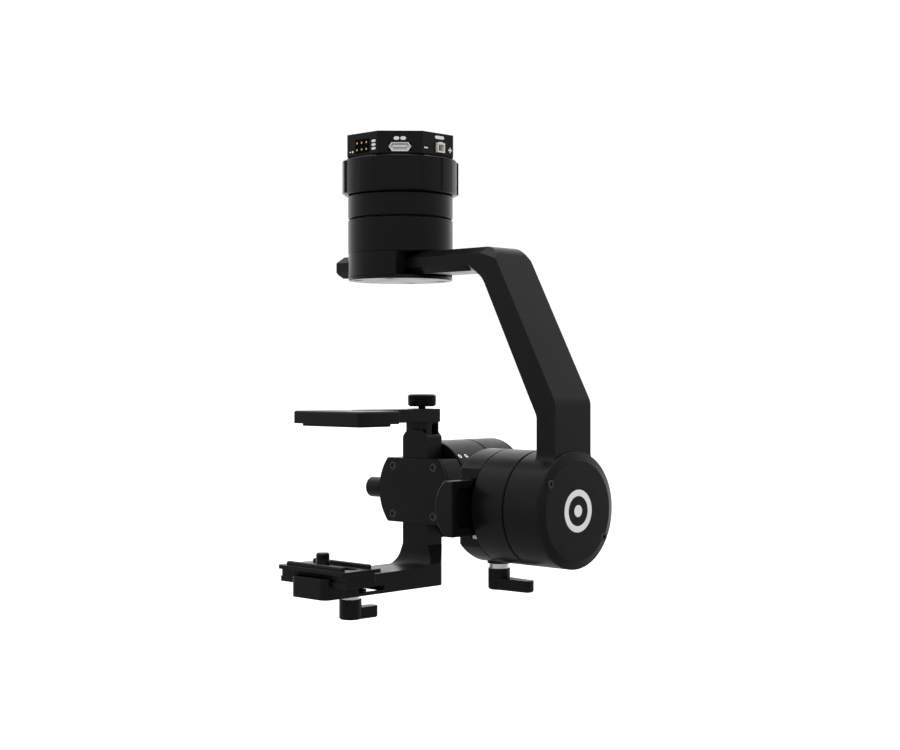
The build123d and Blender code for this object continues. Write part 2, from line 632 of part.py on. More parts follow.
# ------------------------------------------------------------------ roll bar
WIRE_POCKET_X = (-13.0, 26.2)
WIRE_POCKET_HALF = 7.1
WIRE_POCKET_DEPTH = 3.6
with BuildPart() as roll_bar:
    d_prism(LEG_OUT_X + 8, DBAR_END_X)
    chamfer(roll_bar.faces().sort_by(Axis.X)[-1].outer_wire().edges(), length=0.4)
    with BuildSketch(Plane.XY.offset(DBAR_Z - DBAR_HALF)) as leg_sketch:
        leg_outline = [
            (LEG_OUT_X, 8),
            (LEG_OUT_X, DBAR_REAR),
            (LEG_IN_X + 4, DBAR_REAR),
            (LEG_IN_X + 4, DBAR_SHOULDER),
            (LEG_IN_X, DBAR_SHOULDER - 4),
            (LEG_IN_X, 8),
        ]
        with BuildLine():
            Polyline(*leg_outline, close=True)
        make_face()
        outer_corner = leg_sketch.vertices().sort_by_distance((LEG_OUT_X, DBAR_REAR, 0))[0]
        fillet(outer_corner, radius=8.0)
    extrude(amount=2 * DBAR_HALF)
    turned(TILT_FRAME, SEAM / 2, TILT_STATOR, TILT_R)
    disc(TILT_FRAME, SEAM / 2, TILT_STATOR, TILT_R - WALL, mode=Mode.SUBTRACT)
    disc(TILT_FRAME, TILT_WEB, TILT_WEB + WALL, TILT_R - WALL / 2, BEARING_R - 1.0)
    hub_tube(TILT_FRAME, -TILT_ROTOR + WALL, TILT_WEB)
    with BuildSketch(Plane.XZ.offset(-DBAR_REAR)):
        with Locations((sum(WIRE_POCKET_X) / 2, DBAR_Z)):
            RectangleRounded(WIRE_POCKET_X[1] - WIRE_POCKET_X[0], 2 * WIRE_POCKET_HALF, 3.0)
    extrude(amount=WIRE_POCKET_DEPTH, mode=Mode.SUBTRACT)
    pocket_rim = roll_bar.faces().filter_by(Plane.XZ).sort_by(Axis.Y)[-1].inner_wires()
    chamfer(pocket_rim[0].edges(), length=0.5)
save(roll_bar, "roll_bar")
motor_inside("tilt", TILT_FRAME, TILT_R, TILT_ROTOR, TILT_WEB)

with BuildPart() as tilt_cap:
    disc(TILT_FRAME, TILT_STATOR, TILT_STATOR + 1.5, TILT_R)
    chamfer(tilt_cap.faces().sort_by(Axis.X)[0].outer_wire().edges(), length=1.0)
    disc(TILT_FRAME, TILT_STATOR - 2.0, TILT_STATOR, TILT_R - WALL - 0.1, TILT_R - WALL - 1.6)
save(tilt_cap, "tilt_cap")

# ------------------------------------------------------------------ tilt carriage
TILT_FACE = Plane(origin=(0, 0, TILT_Z), x_dir=(0, 1, 0), z_dir=(1, 0, 0))
TILT_SCREWS = [(x * 11.0, y * 9.4) for x in (-1, 1) for y in (-1, 1)]
SIDE_SCREW_X = -21.0
with BuildPart() as tilt_rotor:
    rotor_cup(TILT_FRAME, TILT_R, TILT_ROTOR)
    break_rims(tilt_rotor, TILT_R, RIM)
    side_screw_planes = []
    for lean in (45, 135):
        turn = math.radians(lean)
        out = (0, math.cos(turn), math.sin(turn))
        at = (SIDE_SCREW_X, TILT_R * out[1], TILT_Z + TILT_R * out[2])
        side_screw_planes.append(Plane(origin=at, x_dir=(1, 0, 0), z_dir=out))
    for plane in side_screw_planes:
        drill(plane, [(-1.6, 0), (1.9, 0)], 1.0, 1.4)
save(tilt_rotor, "tilt_rotor_case")

with BuildPart() as side_screws:
    for plane in side_screw_planes:
        drill(plane.offset(-0.15), [(-1.6, 0), (1.9, 0)], 0.95, 1.1, mode=Mode.ADD)
        with BuildSketch(plane.offset(-0.15)) as keys:
            with Locations((-1.6, 0), (1.9, 0)):
                RegularPolygon(0.5, 6)
        extrude(keys.sketch, amount=-0.6, mode=Mode.SUBTRACT)
save(side_screws, "tilt_side_screws")

PAD_DEPTH = 1.6
with BuildPart() as tilt_block:
    disc(TILT_FACE, TILT_BACK_X, TILT_BLOCK_X, TILT_BLOCK_R)
    break_rims(tilt_block, TILT_BLOCK_R, 0.3)
    for low, high in ((-25, -TILT_BLOCK_HALF), (TILT_BLOCK_HALF, 25)):
        block(TILT_FACE, -20, 0, (-25, low), (25, high), mode=Mode.SUBTRACT)
    way = POST_Y + SLIDE
    block(TILT_FACE, POST_REAR - SLIDE, 0, (-way, -15), (way, 15), mode=Mode.SUBTRACT)
    low = (-way - PAD_DEPTH, -15)
    block(TILT_FACE, -14.6, -8.9, low, (-way + 0.1, 15), mode=Mode.SUBTRACT)
    drill(Plane(origin=(-11.7, 0, TILT_Z), z_dir=(0, -1, 0)).offset(30), [(0, 0)], 1.55, 24)
    drill(TILT_FACE.offset(TILT_BLOCK_X), TILT_SCREWS, 0.95, 5.0)
save(tilt_block, "tilt_block")

with BuildPart() as tilt_cover:
    disc(TILT_FACE, TILT_BLOCK_X, TILT_BLOCK_X + TILT_COVER_T, TILT_BLOCK_R)
    break_rims(tilt_cover, TILT_BLOCK_R, 0.3)
    for low, high in ((-25, -TILT_BLOCK_HALF), (TILT_BLOCK_HALF, 25)):
        block(TILT_FACE, -20, 0, (-25, low), (25, high), mode=Mode.SUBTRACT)
    cover_face = TILT_FACE.offset(TILT_BLOCK_X + TILT_COVER_T)
    drill(cover_face, TILT_SCREWS, 1.75, 0.8)
    drill(cover_face, TILT_SCREWS, 1.0, TILT_COVER_T)
save(tilt_cover, "tilt_cover_plate")
screw_set("tilt_cover_screws", cover_face.offset(-0.8), TILT_SCREWS, 1.65, 0.75, 0.9, 4.8)

with BuildPart() as post_pad:
    low = (-way - PAD_DEPTH + 0.05, -12.2)
    block(TILT_FACE, -14.5, -9.0, low, (-way, 12.2))
save(post_pad, "post_clamp_pad")

POST_LEVER_PLANE = Plane(
    origin=(-11.7, -TILT_BLOCK_R - 1.8, TILT_Z), x_dir=(-1, 0, 0), z_dir=(0, -1, 0)
)
lever("post_lever", POST_LEVER_PLANE, 4.0, 7.7, 15.0, 5.0, 4.0, 11.8)
washer("post_lever_washer", POST_LEVER_PLANE.offset(-1.7), 1.7, 3.4, 1.55)

# ------------------------------------------------------------------ camera cage
SLIT_X = (17.9, 31.1)
SLIT_Z = (-170.7, -168.8)
POCKET_X = (3.0, 31.8)
POCKET_Y = 7.9
NOSE_LOW = -165.15
with BuildPart() as cage:
    with BuildSketch(Plane.YZ.offset(POST_REAR)) as post_sketch:
        post_outline = [
            (-POST_Y, -156.4),
            (-POST_Y, POST_SHOULDER),
            (-POST_Y + 2.6, POST_TOP),
            (POST_Y - 2.6, POST_TOP),
            (POST_Y, POST_SHOULDER),
            (POST_Y, -156.4),
            (ARM_Y, -163.4),
            (ARM_Y, ARM_TOP - 1),
            (-ARM_Y, ARM_TOP - 1),
            (-ARM_Y, -163.4),
        ]
        with BuildLine():
            Polyline(*post_outline, close=True)
        make_face()
        top_corners = post_sketch.vertices().filter_by(lambda v: v.Y > POST_SHOULDER - 0.1)
        fillet(top_corners, radius=1.6)
    extrude(amount=POST_FRONT - POST_REAR)
    with BuildSketch(Plane.XY.offset(ARM_LOW)) as arm_sketch:
        arm_outline = [
            (ARM_BACK_X, -ARM_Y + 3.0),
            (ARM_BACK_X + 3.5, -ARM_Y),
            (ARM_END_X, -ARM_Y),
            (ARM_END_X, ARM_Y),
            (ARM_BACK_X + 3.5, ARM_Y),
            (ARM_BACK_X, ARM_Y - 3.0),
        ]
        with BuildLine():
            Polyline(*arm_outline, close=True)
        make_face()
        front_corners = arm_sketch.vertices().group_by(Axis.X)[-1]
        fillet(front_corners, radius=2.7)
    extrude(amount=ARM_TOP - ARM_LOW)
    for side_y in (-1, 1):
        wedge = [
            (ARM_BACK_X, side_y * (ARM_Y - 3.0)),
            (ARM_BACK_X, side_y * (ARM_Y + 0.9)),
            (ARM_BACK_X + 4.55, side_y * (ARM_Y + 0.9)),
        ]
        slab(Plane.XY, ARM_LOW, POST_TOP, wedge, mode=Mode.SUBTRACT)
    inner_corner = cage.edges().filter_by(Axis.Y).sort_by_distance((POST_FRONT, 0, ARM_TOP))[0]
    fillet(inner_corner, radius=4.5)
    cut = [(CHANNEL_X[0], CHANNEL_FLOOR), (CHANNEL_X[1], NOSE_LOW)]
    block(Plane.XZ, -15, 15, cut[0], cut[1], mode=Mode.SUBTRACT)
    mouth = [(CHANNEL_X[0] + 0.5, NOSE_LOW - 0.1), (CHANNEL_X[1] - 0.5, ARM_TOP + 1)]
    block(Plane.XZ, -15, 15, mouth[0], mouth[1], mode=Mode.SUBTRACT)
    with BuildSketch(Plane.XZ.offset(-15)):
        with Locations((sum(SLIT_X) / 2, sum(SLIT_Z) / 2)):
            SlotOverall(SLIT_X[1] - SLIT_X[0], SLIT_Z[1] - SLIT_Z[0])
    extrude(amount=30, mode=Mode.SUBTRACT)
    with BuildSketch(Plane.XY.offset(ARM_LOW)):
        with Locations((sum(POCKET_X) / 2, 0)):
            RectangleRounded(POCKET_X[1] - POCKET_X[0], 2 * POCKET_Y, 2.0)
        with Locations((LEVER_X, 0)):
            Circle(6.0, mode=Mode.SUBTRACT)
    extrude(amount=POCKET_TOP - ARM_LOW, mode=Mode.SUBTRACT)
    drill(Plane.XY.offset(-167.9), [(LEVER_X, 0)], 1.55, 6)
    low = (NECK[0] - 0.1, -5.8)
    block(Plane.XY, -128.8, POST_TOP + 1, low, (NECK[1] + 0.1, 5.8), mode=Mode.SUBTRACT)
save(cage, "cage_arm")

with BuildPart() as imu:
    block(Plane.XY, POCKET_TOP - 2.6, POCKET_TOP, (4.0, -7.0), (17.0, 7.0))
    chamfer(imu.edges().group_by(Axis.Z)[0], length=0.4)
save(imu, "imu_sensor")

BASE_LEVER_PLANE = Plane(origin=(LEVER_X, 0, ARM_LOW - 2.3), x_dir=(-1, 0, 0), z_dir=(0, 0, -1))
lever("base_lever", BASE_LEVER_PLANE.rotated((0, 0, -11)), 4.2, 7.4, 11.3, 5.0, 4.4, 6.0)
washer("base_lever_washer", BASE_LEVER_PLANE.offset(-2.2), 2.2, 3.5, 1.55)

# ------------------------------------------------------------------ quick release plate
GROOVE_TOP = -162.6
GROOVE_LOW = -165.3
GRIP_X = (30.5, 43.35)         # centre lines of the two grip strips
RECESS_Z = -164.7
SCREW_TOP = -156.2
with BuildPart() as plate:
    low = (PLATE_EDGE_X[0], -PLATE_Y)
    block(Plane.XY, GROOVE_TOP, PLATE_TOP, low, (PLATE_EDGE_X[1], PLATE_Y))
    chamfer(plate.edges().filter_by(Axis.Z), length=0.8)
    block(Plane.XY, GROOVE_LOW, GROOVE_TOP, (30.6, -PLATE_Y + 0.3), (43.9, PLATE_Y - 0.3))
    block(Plane.XY, PLATE_LOW, GROOVE_LOW, (30.05, -PLATE_Y + 0.3), (44.45, PLATE_Y - 0.3))
    for grip_x in GRIP_X:
        low = (grip_x - 0.9, -15)
        block(Plane.XY, PLATE_TOP - 0.5, PLATE_TOP, low, (grip_x + 0.9, 15), mode=Mode.SUBTRACT)
    low = (PLATE_X - 4.7, -15.2)
    block(Plane.XY, PLATE_LOW, RECESS_Z, low, (PLATE_X + 4.7, 15.2), mode=Mode.SUBTRACT)
    with BuildSketch(Plane.XY.offset(RECESS_Z)):
        with Locations((PLATE_X, 0)):
            SlotOverall(30.0, 2 * SCREW_R + 0.2, rotation=90)
    extrude(amount=PLATE_TOP - RECESS_Z, mode=Mode.SUBTRACT)
save(plate, "quick_release_plate")

with BuildPart() as grips:
    for grip_x in GRIP_X:
        block(Plane.XY, PLATE_TOP - 0.5, PLATE_TOP + 1.4, (grip_x - 0.9, -15), (grip_x + 0.9, 15))
    chamfer(grips.edges().group_by(Axis.Z)[-1], length=0.3)
save(grips, "plate_grip_strips")

SCREW_PLANE = Plane(origin=(PLATE_X, SCREW_Y, RECESS_Z - 0.9), x_dir=(1, 0, 0), z_dir=(0, 0, 1))
washer("camera_screw_washer", SCREW_PLANE, 0.8, 4.4, SCREW_NECK_R + RUN)

with BuildPart() as camera_screw:
    neck_top = PLATE_TOP + 0.2 - SCREW_PLANE.origin.Z
    disc(SCREW_PLANE, -1.6, -0.05, 4.2)
    disc(SCREW_PLANE, -0.05, neck_top, SCREW_NECK_R)
    disc(SCREW_PLANE, neck_top, SCREW_TOP - SCREW_PLANE.origin.Z, SCREW_R)
    chamfer(camera_screw.faces().sort_by(Axis.Z)[-1].outer_wire().edges(), length=0.5)
    with BuildSketch(SCREW_PLANE.offset(-1.6)) as coin_slot:
        Rectangle(9.0, 1.2)
    extrude(coin_slot.sketch, amount=0.9, mode=Mode.SUBTRACT)
save(camera_screw, "camera_screw")

# ------------------------------------------------------------------ top clamp
CLAMP_ARM_Y = 6.35
POCKET_SIDE_X = (-14.5, -11.2) # a blind pocket in the neck's side
POCKET_Z = (-115.0, -109.5)
with BuildPart() as top_clamp:
    with BuildSketch(Plane.XY.offset(JAW_LOW)) as jaw_sketch:
        with Locations((sum(JAW_X) / 2, 0)):
            Rectangle(JAW_X[1] - JAW_X[0], 2 * JAW_Y)
        chamfer(jaw_sketch.vertices(), length=1.3)
    extrude(amount=JAW_TOP - JAW_LOW)
    chamfer(top_clamp.faces().sort_by(Axis.Z)[-1].outer_wire().edges(), length=0.5)
    with BuildSketch(Plane.XY.offset(JAW_LOW - 0.1)) as clamp_arm:
        with Locations(((CLAMP_BACK_X + JAW_X[0] + 2) / 2, 0)):
            Rectangle(JAW_X[0] + 2 - CLAMP_BACK_X, 2 * CLAMP_ARM_Y)
        fillet(clamp_arm.vertices().group_by(Axis.X)[0], radius=1.5)
    extrude(amount=JAW_TOP - JAW_LOW + 0.3)
    block(Plane.XY, NECK_LOW, JAW_LOW, (NECK[0], -5.65), (NECK[1], 5.65))
    with BuildSketch(Plane.XZ.offset(-5.65)) as pocket:
        with Locations((sum(POCKET_SIDE_X) / 2, sum(POCKET_Z) / 2)):
            Rectangle(POCKET_SIDE_X[1] - POCKET_SIDE_X[0], POCKET_Z[1] - POCKET_Z[0])
        fillet(pocket.vertices().sort_by_distance((POCKET_SIDE_X[1], POCKET_Z[1], 0))[0], radius=1.6)
    extrude(amount=4.0, mode=Mode.SUBTRACT)
    drill(Plane.XY.offset(JAW_TOP + 0.5), [(THUMB_X, 0)], 1.45, 18.5)
save(top_clamp, "top_clamp")

with BuildPart() as jaw_pad:
    with BuildSketch(Plane.XY.offset(JAW_LOW - JAW_PAD_T)) as pad_sketch:
        with Locations((sum(JAW_X) / 2, 0)):
            Rectangle(JAW_X[1] - JAW_X[0] - 2 * JAW_PAD_INSET, 2 * JAW_Y - 2 * JAW_PAD_INSET)
        chamfer(pad_sketch.vertices(), length=1.0)
    extrude(amount=JAW_PAD_T)
    chamfer(jaw_pad.faces().sort_by(Axis.Z)[0].outer_wire().edges(), length=0.3)
save(jaw_pad, "top_clamp_pad")

KNURLS = 28
KNOB_Z = (-103.0, -98.3)
with BuildPart() as thumb:
    knob_plane = Plane(origin=(THUMB_X, 0, KNOB_Z[0]))
    disc(knob_plane, 0, KNOB_Z[1] - KNOB_Z[0], THUMB_R)
    chamfer(thumb.edges().filter_by(GeomType.CIRCLE), length=0.4)
    with BuildSketch(knob_plane) as knurls:
        with PolarLocations(THUMB_R + 0.22, KNURLS):
            RegularPolygon(0.48, 4)
    extrude(knurls.sketch, amount=KNOB_Z[1] - KNOB_Z[0], mode=Mode.SUBTRACT)
    disc(knob_plane, KNOB_Z[1] - KNOB_Z[0], KNOB_Z[1] - KNOB_Z[0] + 0.01, 2.6)
    disc(knob_plane, -18.5, 0, 1.4)
save(thumb, "thumb_screw")
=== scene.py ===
import json
import math

import bmesh
import bpy
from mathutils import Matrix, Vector


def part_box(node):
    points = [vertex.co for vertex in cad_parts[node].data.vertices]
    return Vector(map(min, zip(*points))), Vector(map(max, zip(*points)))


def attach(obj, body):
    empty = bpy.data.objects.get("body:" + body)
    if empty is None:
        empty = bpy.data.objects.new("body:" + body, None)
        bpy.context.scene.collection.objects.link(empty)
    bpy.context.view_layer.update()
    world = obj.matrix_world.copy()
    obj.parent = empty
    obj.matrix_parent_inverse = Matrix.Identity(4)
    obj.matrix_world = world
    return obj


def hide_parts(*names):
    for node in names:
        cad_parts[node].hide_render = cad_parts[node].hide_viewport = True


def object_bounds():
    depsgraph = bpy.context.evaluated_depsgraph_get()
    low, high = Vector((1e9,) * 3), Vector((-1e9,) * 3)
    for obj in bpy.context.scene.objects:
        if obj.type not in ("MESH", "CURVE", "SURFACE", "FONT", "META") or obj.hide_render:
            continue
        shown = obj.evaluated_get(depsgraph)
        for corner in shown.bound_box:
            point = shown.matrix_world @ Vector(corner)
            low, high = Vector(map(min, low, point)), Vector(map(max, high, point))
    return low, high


# Looks for a black three-axis camera gimbal. Every length is in metres, in the CAD frame:
# the origin is the centre of the top mounting face, +Z up, +X along the tilt axis
# towards the camera plate, +Y along the roll axis to the rear.

MM = 0.001
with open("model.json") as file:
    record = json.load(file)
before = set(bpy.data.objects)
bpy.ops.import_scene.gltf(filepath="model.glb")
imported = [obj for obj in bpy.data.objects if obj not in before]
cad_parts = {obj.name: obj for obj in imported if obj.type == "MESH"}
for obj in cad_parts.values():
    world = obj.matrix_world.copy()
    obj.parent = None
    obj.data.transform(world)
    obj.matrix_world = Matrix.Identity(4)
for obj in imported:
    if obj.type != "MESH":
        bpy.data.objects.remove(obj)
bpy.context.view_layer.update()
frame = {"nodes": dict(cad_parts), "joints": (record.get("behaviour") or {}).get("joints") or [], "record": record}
NODES = frame["nodes"]
ROLL_AXIS = next(Vector(j["pos_m"]) for j in frame["joints"] if j["name"] == "roll")


# ------------------------------------------------------------------ camera, light, stage
CAMERA_PLACE = (0.42062, 0.42971, -0.0908)
CAMERA_TURN = 133.8                           # degrees about Z, level
CAMERA_LENS = 62.56
CAMERA_SENSOR = 36.0
BACKDROP = Vector((-0.722, -0.692, 0.0))      # the level direction that the camera looks in
BACKDROP_RISE = Vector((0, 0, 0.35))
# Studio brightness from the camera's side (0) round to the backdrop (1).
STUDIO_LEVELS = ((0.0, 0.76), (0.5, 0.81), (0.74, 0.96), (0.90, 1.45))
STUDIO_SEEN = 1.05
SOFT_BOX_SIDE = 0.9
SOFT_BOX_WATTS = 6.0
SOFT_BOX_PLACE = (-0.15, -0.15, 0.75)
FLOOR_HALF = 6.0
FLOOR_DROP = 0.06
FLOOR_GREY = 0.35
FLOOR_DEPTHS = (0.15, 0.8)                    # metres along the backdrop direction
FLOOR_GLOWS = (0.03, 1.3)


def make_camera():
    data = bpy.data.cameras.new("photo_camera")
    data.lens = CAMERA_LENS
    data.sensor_width = CAMERA_SENSOR
    camera = bpy.data.objects.new("photo_camera", data)
    camera.location = CAMERA_PLACE
    camera.rotation_euler = (math.radians(90), 0, math.radians(CAMERA_TURN))
    bpy.context.scene.collection.objects.link(camera)
    bpy.context.scene.camera = camera
    bpy.context.scene.view_settings.view_transform = "Standard"


def make_world():
    """A white studio: bright behind and above the object, dim on the side it is seen from."""
    world = bpy.data.worlds.new("studio")
    bpy.context.scene.world = world
    world.use_nodes = True
    tree = world.node_tree
    tree.nodes.clear()
    coord = tree.nodes.new("ShaderNodeTexCoord")
    side = tree.nodes.new("ShaderNodeVectorMath")
    side.operation = "DOT_PRODUCT"
    side.inputs[1].default_value = (BACKDROP + BACKDROP_RISE).normalized()
    tree.links.new(coord.outputs["Generated"], side.inputs[0])
    ramp = tree.nodes.new("ShaderNodeValToRGB")
    ramp.color_ramp.interpolation = "EASE"
    for index, (at, level) in enumerate(STUDIO_LEVELS):
        stop = ramp.color_ramp.elements[index] if index < 2 else ramp.color_ramp.elements.new(at)
        stop.position = at
        stop.color = (level, level, level, 1)
    remap = tree.nodes.new("ShaderNodeMapRange")
    remap.inputs["From Min"].default_value = -1
    tree.links.new(side.outputs["Value"], remap.inputs["Value"])
    tree.links.new(remap.outputs["Result"], ramp.inputs["Fac"])
    studio = tree.nodes.new("ShaderNodeBackground")
    tree.links.new(ramp.outputs["Color"], studio.inputs["Color"])
    seen = tree.nodes.new("ShaderNodeBackground")
    seen.inputs["Color"].default_value = (1, 1, 1, 1)
    seen.inputs["Strength"].default_value = STUDIO_SEEN
    path = tree.nodes.new("ShaderNodeLightPath")
    mix = tree.nodes.new("ShaderNodeMixShader")
    output = tree.nodes.new("ShaderNodeOutputWorld")
    tree.links.new(path.outputs["Is Camera Ray"], mix.inputs["Fac"])
    tree.links.new(studio.outputs["Background"], mix.inputs[1])
    tree.links.new(seen.outputs["Background"], mix.inputs[2])
    tree.links.new(mix.outputs["Shader"], output.inputs["Surface"])


def make_lights():
    """One large soft box overhead, a little behind the object."""
    data = bpy.data.lights.new("soft_box", "AREA")
    data.shape = "RECTANGLE"
    data.size = SOFT_BOX_SIDE
    data.size_y = SOFT_BOX_SIDE
    data.energy = SOFT_BOX_WATTS
    lamp = bpy.data.objects.new("soft_box", data)
    lamp.location = SOFT_BOX_PLACE
    bpy.context.scene.collection.objects.link(lamp)


def make_floor():
    """A plain pale floor, some way under the hanging object."""
    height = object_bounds()[0].z - FLOOR_DROP
    signs = ((-1, -1), (1, -1), (1, 1), (-1, 1))
    mesh = bpy.data.meshes.new("floor")
    mesh.from_pydata([(FLOOR_HALF * x, FLOOR_HALF * y, height) for x, y in signs], [], [(0, 1, 2, 3)])
    floor = bpy.data.objects.new("floor", mesh)
    bpy.context.scene.collection.objects.link(floor)
    material = bpy.data.materials.new("pale_floor")
    material.use_nodes = True
    tree = material.node_tree
    shader = tree.nodes["Principled BSDF"]
    shader.inputs["Base Color"].default_value = (FLOOR_GREY, FLOOR_GREY, FLOOR_GREY, 1)
    shader.inputs["Roughness"].default_value = 0.9
    shader.inputs["Emission Color"].default_value = (1, 1, 1, 1)
    place = tree.nodes.new("ShaderNodeTexCoord")
    depth = tree.nodes.new("ShaderNodeVectorMath")
    depth.operation = "DOT_PRODUCT"
    depth.inputs[1].default_value = BACKDROP
    tree.links.new(place.outputs["Object"], depth.inputs[0])
    glow = tree.nodes.new("ShaderNodeMapRange")
    glow.inputs["From Min"].default_value, glow.inputs["From Max"].default_value = FLOOR_DEPTHS
    glow.inputs["To Min"].default_value, glow.inputs["To Max"].default_value = FLOOR_GLOWS
    tree.links.new(depth.outputs["Value"], glow.inputs["Value"])
    path = tree.nodes.new("ShaderNodeLightPath")
    seen = tree.nodes.new("ShaderNodeMix")
    seen.inputs["B"].default_value = 1.0
    tree.links.new(path.outputs["Is Camera Ray"], seen.inputs["Factor"])
    tree.links.new(glow.outputs["Result"], seen.inputs["A"])
    tree.links.new(seen.outputs["Result"], shader.inputs["Emission Strength"])
    mesh.materials.append(material)


# ------------------------------------------------------------------ materials
BEVEL_RAYS = 6
# Painted shade: an occlusion test paints the anodised colour and its reflection black in seams and recesses.
SHADE_PAINT_RAYS = 8
SHADE_PAINT_REACH = 4 * MM
SHADE_PAINT_RANGE = (0.25, 0.62)                   # painted shade by open share of the sky: black below, full colour above
LEAN_RANGE = (0.97, 0.80)                     # cosine between the true and the rounded normal
ANODISED_SHINE = 0.13
EDGE_RADIUS = 0.35 * MM
WAVE_BANDS = 20                               # a wave texture's bands per unit, at scale 1


def start_material(name, color, metallic, roughness):
    """A named material with a Principled shader and object coordinates in metres."""
    material = bpy.data.materials.new(name)
    material.use_nodes = True
    tree = material.node_tree
    shader = tree.nodes["Principled BSDF"]
    shader.inputs["Base Color"].default_value = (*color, 1)
    shader.inputs["Metallic"].default_value = metallic
    shader.inputs["Roughness"].default_value = roughness
    coord = tree.nodes.new("ShaderNodeTexCoord")
    return material, tree, shader, coord.outputs["Object"]


def noise(tree, where, scale, detail=3.0, stretch=(1, 1, 1)):
    """Noise with this many features per metre, stretched along the axes."""
    mapping = tree.nodes.new("ShaderNodeMapping")
    mapping.inputs["Scale"].default_value = stretch
    tree.links.new(where, mapping.inputs["Vector"])
    texture = tree.nodes.new("ShaderNodeTexNoise")
    texture.inputs["Scale"].default_value = scale
    texture.inputs["Detail"].default_value = detail
    tree.links.new(mapping.outputs["Vector"], texture.inputs["Vector"])
    return texture.outputs["Fac"]


def vary(tree, fac, socket, low, high):
    """Drive a number socket from a 0..1 texture between two values."""
    remap = tree.nodes.new("ShaderNodeMapRange")
    remap.inputs["From Min"].default_value = 0.3
    remap.inputs["From Max"].default_value = 0.7
    remap.inputs["To Min"].default_value = low
    remap.inputs["To Max"].default_value = high
    tree.links.new(fac, remap.inputs["Value"])
    tree.links.new(remap.outputs["Result"], socket)


def blend_colors(tree, fac, low, high):
    """Mix two colours, each a tuple or a socket, by a factor and return the colour socket."""
    mix = tree.nodes.new("ShaderNodeMix")
    mix.data_type = "RGBA"
    for slot, color in (("A", low), ("B", high)):
        if isinstance(color, tuple):
            mix.inputs[slot].default_value = (*color, 1)
        else:
            tree.links.new(color, mix.inputs[slot])
    tree.links.new(fac, mix.inputs["Factor"])
    return mix.outputs["Result"]


def bump(tree, shader, height, strength, distance, normal=None):
    """Raise the surface by a texture, on top of another normal if one is given."""
    node = tree.nodes.new("ShaderNodeBump")
    if normal:
        tree.links.new(normal, node.inputs["Normal"])
    node.inputs["Strength"].default_value = strength
    node.inputs["Distance"].default_value = distance
    tree.links.new(height, node.inputs["Height"])
    tree.links.new(node.outputs["Normal"], shader.inputs["Normal"])


def rounded(tree, radius):
    """The normal of a surface whose edges are rounded to this radius."""
    bevel = tree.nodes.new("ShaderNodeBevel")
    bevel.inputs["Radius"].default_value = radius
    bevel.samples = BEVEL_RAYS
    return bevel.outputs["Normal"]


def edge_mask(tree, normal):
    """1 along edges and 0 on faces, from how far a rounded normal leans."""
    geometry = tree.nodes.new("ShaderNodeNewGeometry")
    lean = tree.nodes.new("ShaderNodeVectorMath")
    lean.operation = "DOT_PRODUCT"
    tree.links.new(normal, lean.inputs[0])
    tree.links.new(geometry.outputs["Normal"], lean.inputs[1])
    remap = tree.nodes.new("ShaderNodeMapRange")
    remap.inputs["From Min"].default_value, remap.inputs["From Max"].default_value = LEAN_RANGE
    tree.links.new(lean.outputs["Value"], remap.inputs["Value"])
    return remap.outputs["Result"]


def multiply(tree, first, second):
    """The product of two values, each a number or a socket."""
    node = tree.nodes.new("ShaderNodeMath")
    node.operation = "MULTIPLY"
    node.use_clamp = True
    for index, value in enumerate((first, second)):
        if isinstance(value, float):
            node.inputs[index].default_value = value
        else:
            tree.links.new(value, node.inputs[index])
    return node.outputs["Value"]


def painted_recess_shade(tree):
    """Painted shade: 1 on open faces, falling to 0 in seams and deep recesses, where colour and reflection are
    painted black.
    """
    shade = tree.nodes.new("ShaderNodeAmbientOcclusion")
    shade.samples = SHADE_PAINT_RAYS
    shade.inputs["Distance"].default_value = SHADE_PAINT_REACH
    remap = tree.nodes.new("ShaderNodeMapRange")
    remap.inputs["From Min"].default_value, remap.inputs["From Max"].default_value = SHADE_PAINT_RANGE
    tree.links.new(shade.outputs["AO"], remap.inputs["Value"])
    return remap.outputs["Result"]


def anodised(name, face, abrasion_and_highlight_colour, roughness, edge=EDGE_RADIUS):
    """Bead-blasted black anodised aluminium: paler on edges from abrasion and a painted edge highlight, with
    painted shade turning seams and recesses black.
    """
    material, tree, shader, where = start_material(name, face, 0.0, roughness)
    painted_shade_fac = painted_recess_shade(tree)
    # Painted shade: the reflection is cut to nothing in seams and recesses.
    tree.links.new(multiply(tree, painted_shade_fac, ANODISED_SHINE), shader.inputs["Specular IOR Level"])
    cloud = noise(tree, where, 90.0, 4.0)
    grain = noise(tree, where, 5200.0, 2.0)
    # Breaks up the paler edges: abrasion and a painted edge highlight.
    abrasion_and_highlight_noise = noise(tree, where, 700.0, 5.0)
    deep = tuple(value * 0.78 for value in face)
    pale = tuple(value * 1.25 for value in face)
    ground = blend_colors(tree, cloud, deep, pale)
    soft_edge = rounded(tree, edge)
    # Paler edges where the rounded normal leans: abrasion and a painted highlight.
    abrasion_and_highlight_mask = multiply(tree, edge_mask(tree, soft_edge), abrasion_and_highlight_noise)
    abraded_and_highlit_colour = blend_colors(tree, abrasion_and_highlight_mask, ground, abrasion_and_highlight_colour)
    # Painted shade: the colour is blended to black in seams and recesses.
    tree.links.new(blend_colors(tree, painted_shade_fac, (0.0, 0.0, 0.0), abraded_and_highlit_colour), shader.inputs["Base Color"])
    vary(tree, cloud, shader.inputs["Roughness"], roughness - 0.04, roughness + 0.05)
    bump(tree, shader, grain, 0.22, 0.02 * MM, soft_edge)
    return material


def steel(name, color, roughness, scale=2600.0, stretch=(1, 1, 1), depth=0.2):
    """Metal with fine machining marks."""
    material, tree, shader, where = start_material(name, color, 1.0, roughness)
    marks = noise(tree, where, scale, 3.0, stretch)
    dark = tuple(value * 0.8 for value in color)
    tree.links.new(blend_colors(tree, marks, dark, color), shader.inputs["Base Color"])
    vary(tree, marks, shader.inputs["Roughness"], roughness * 0.8, roughness * 1.25)
    bump(tree, shader, marks, depth, 0.01 * MM)
    return material


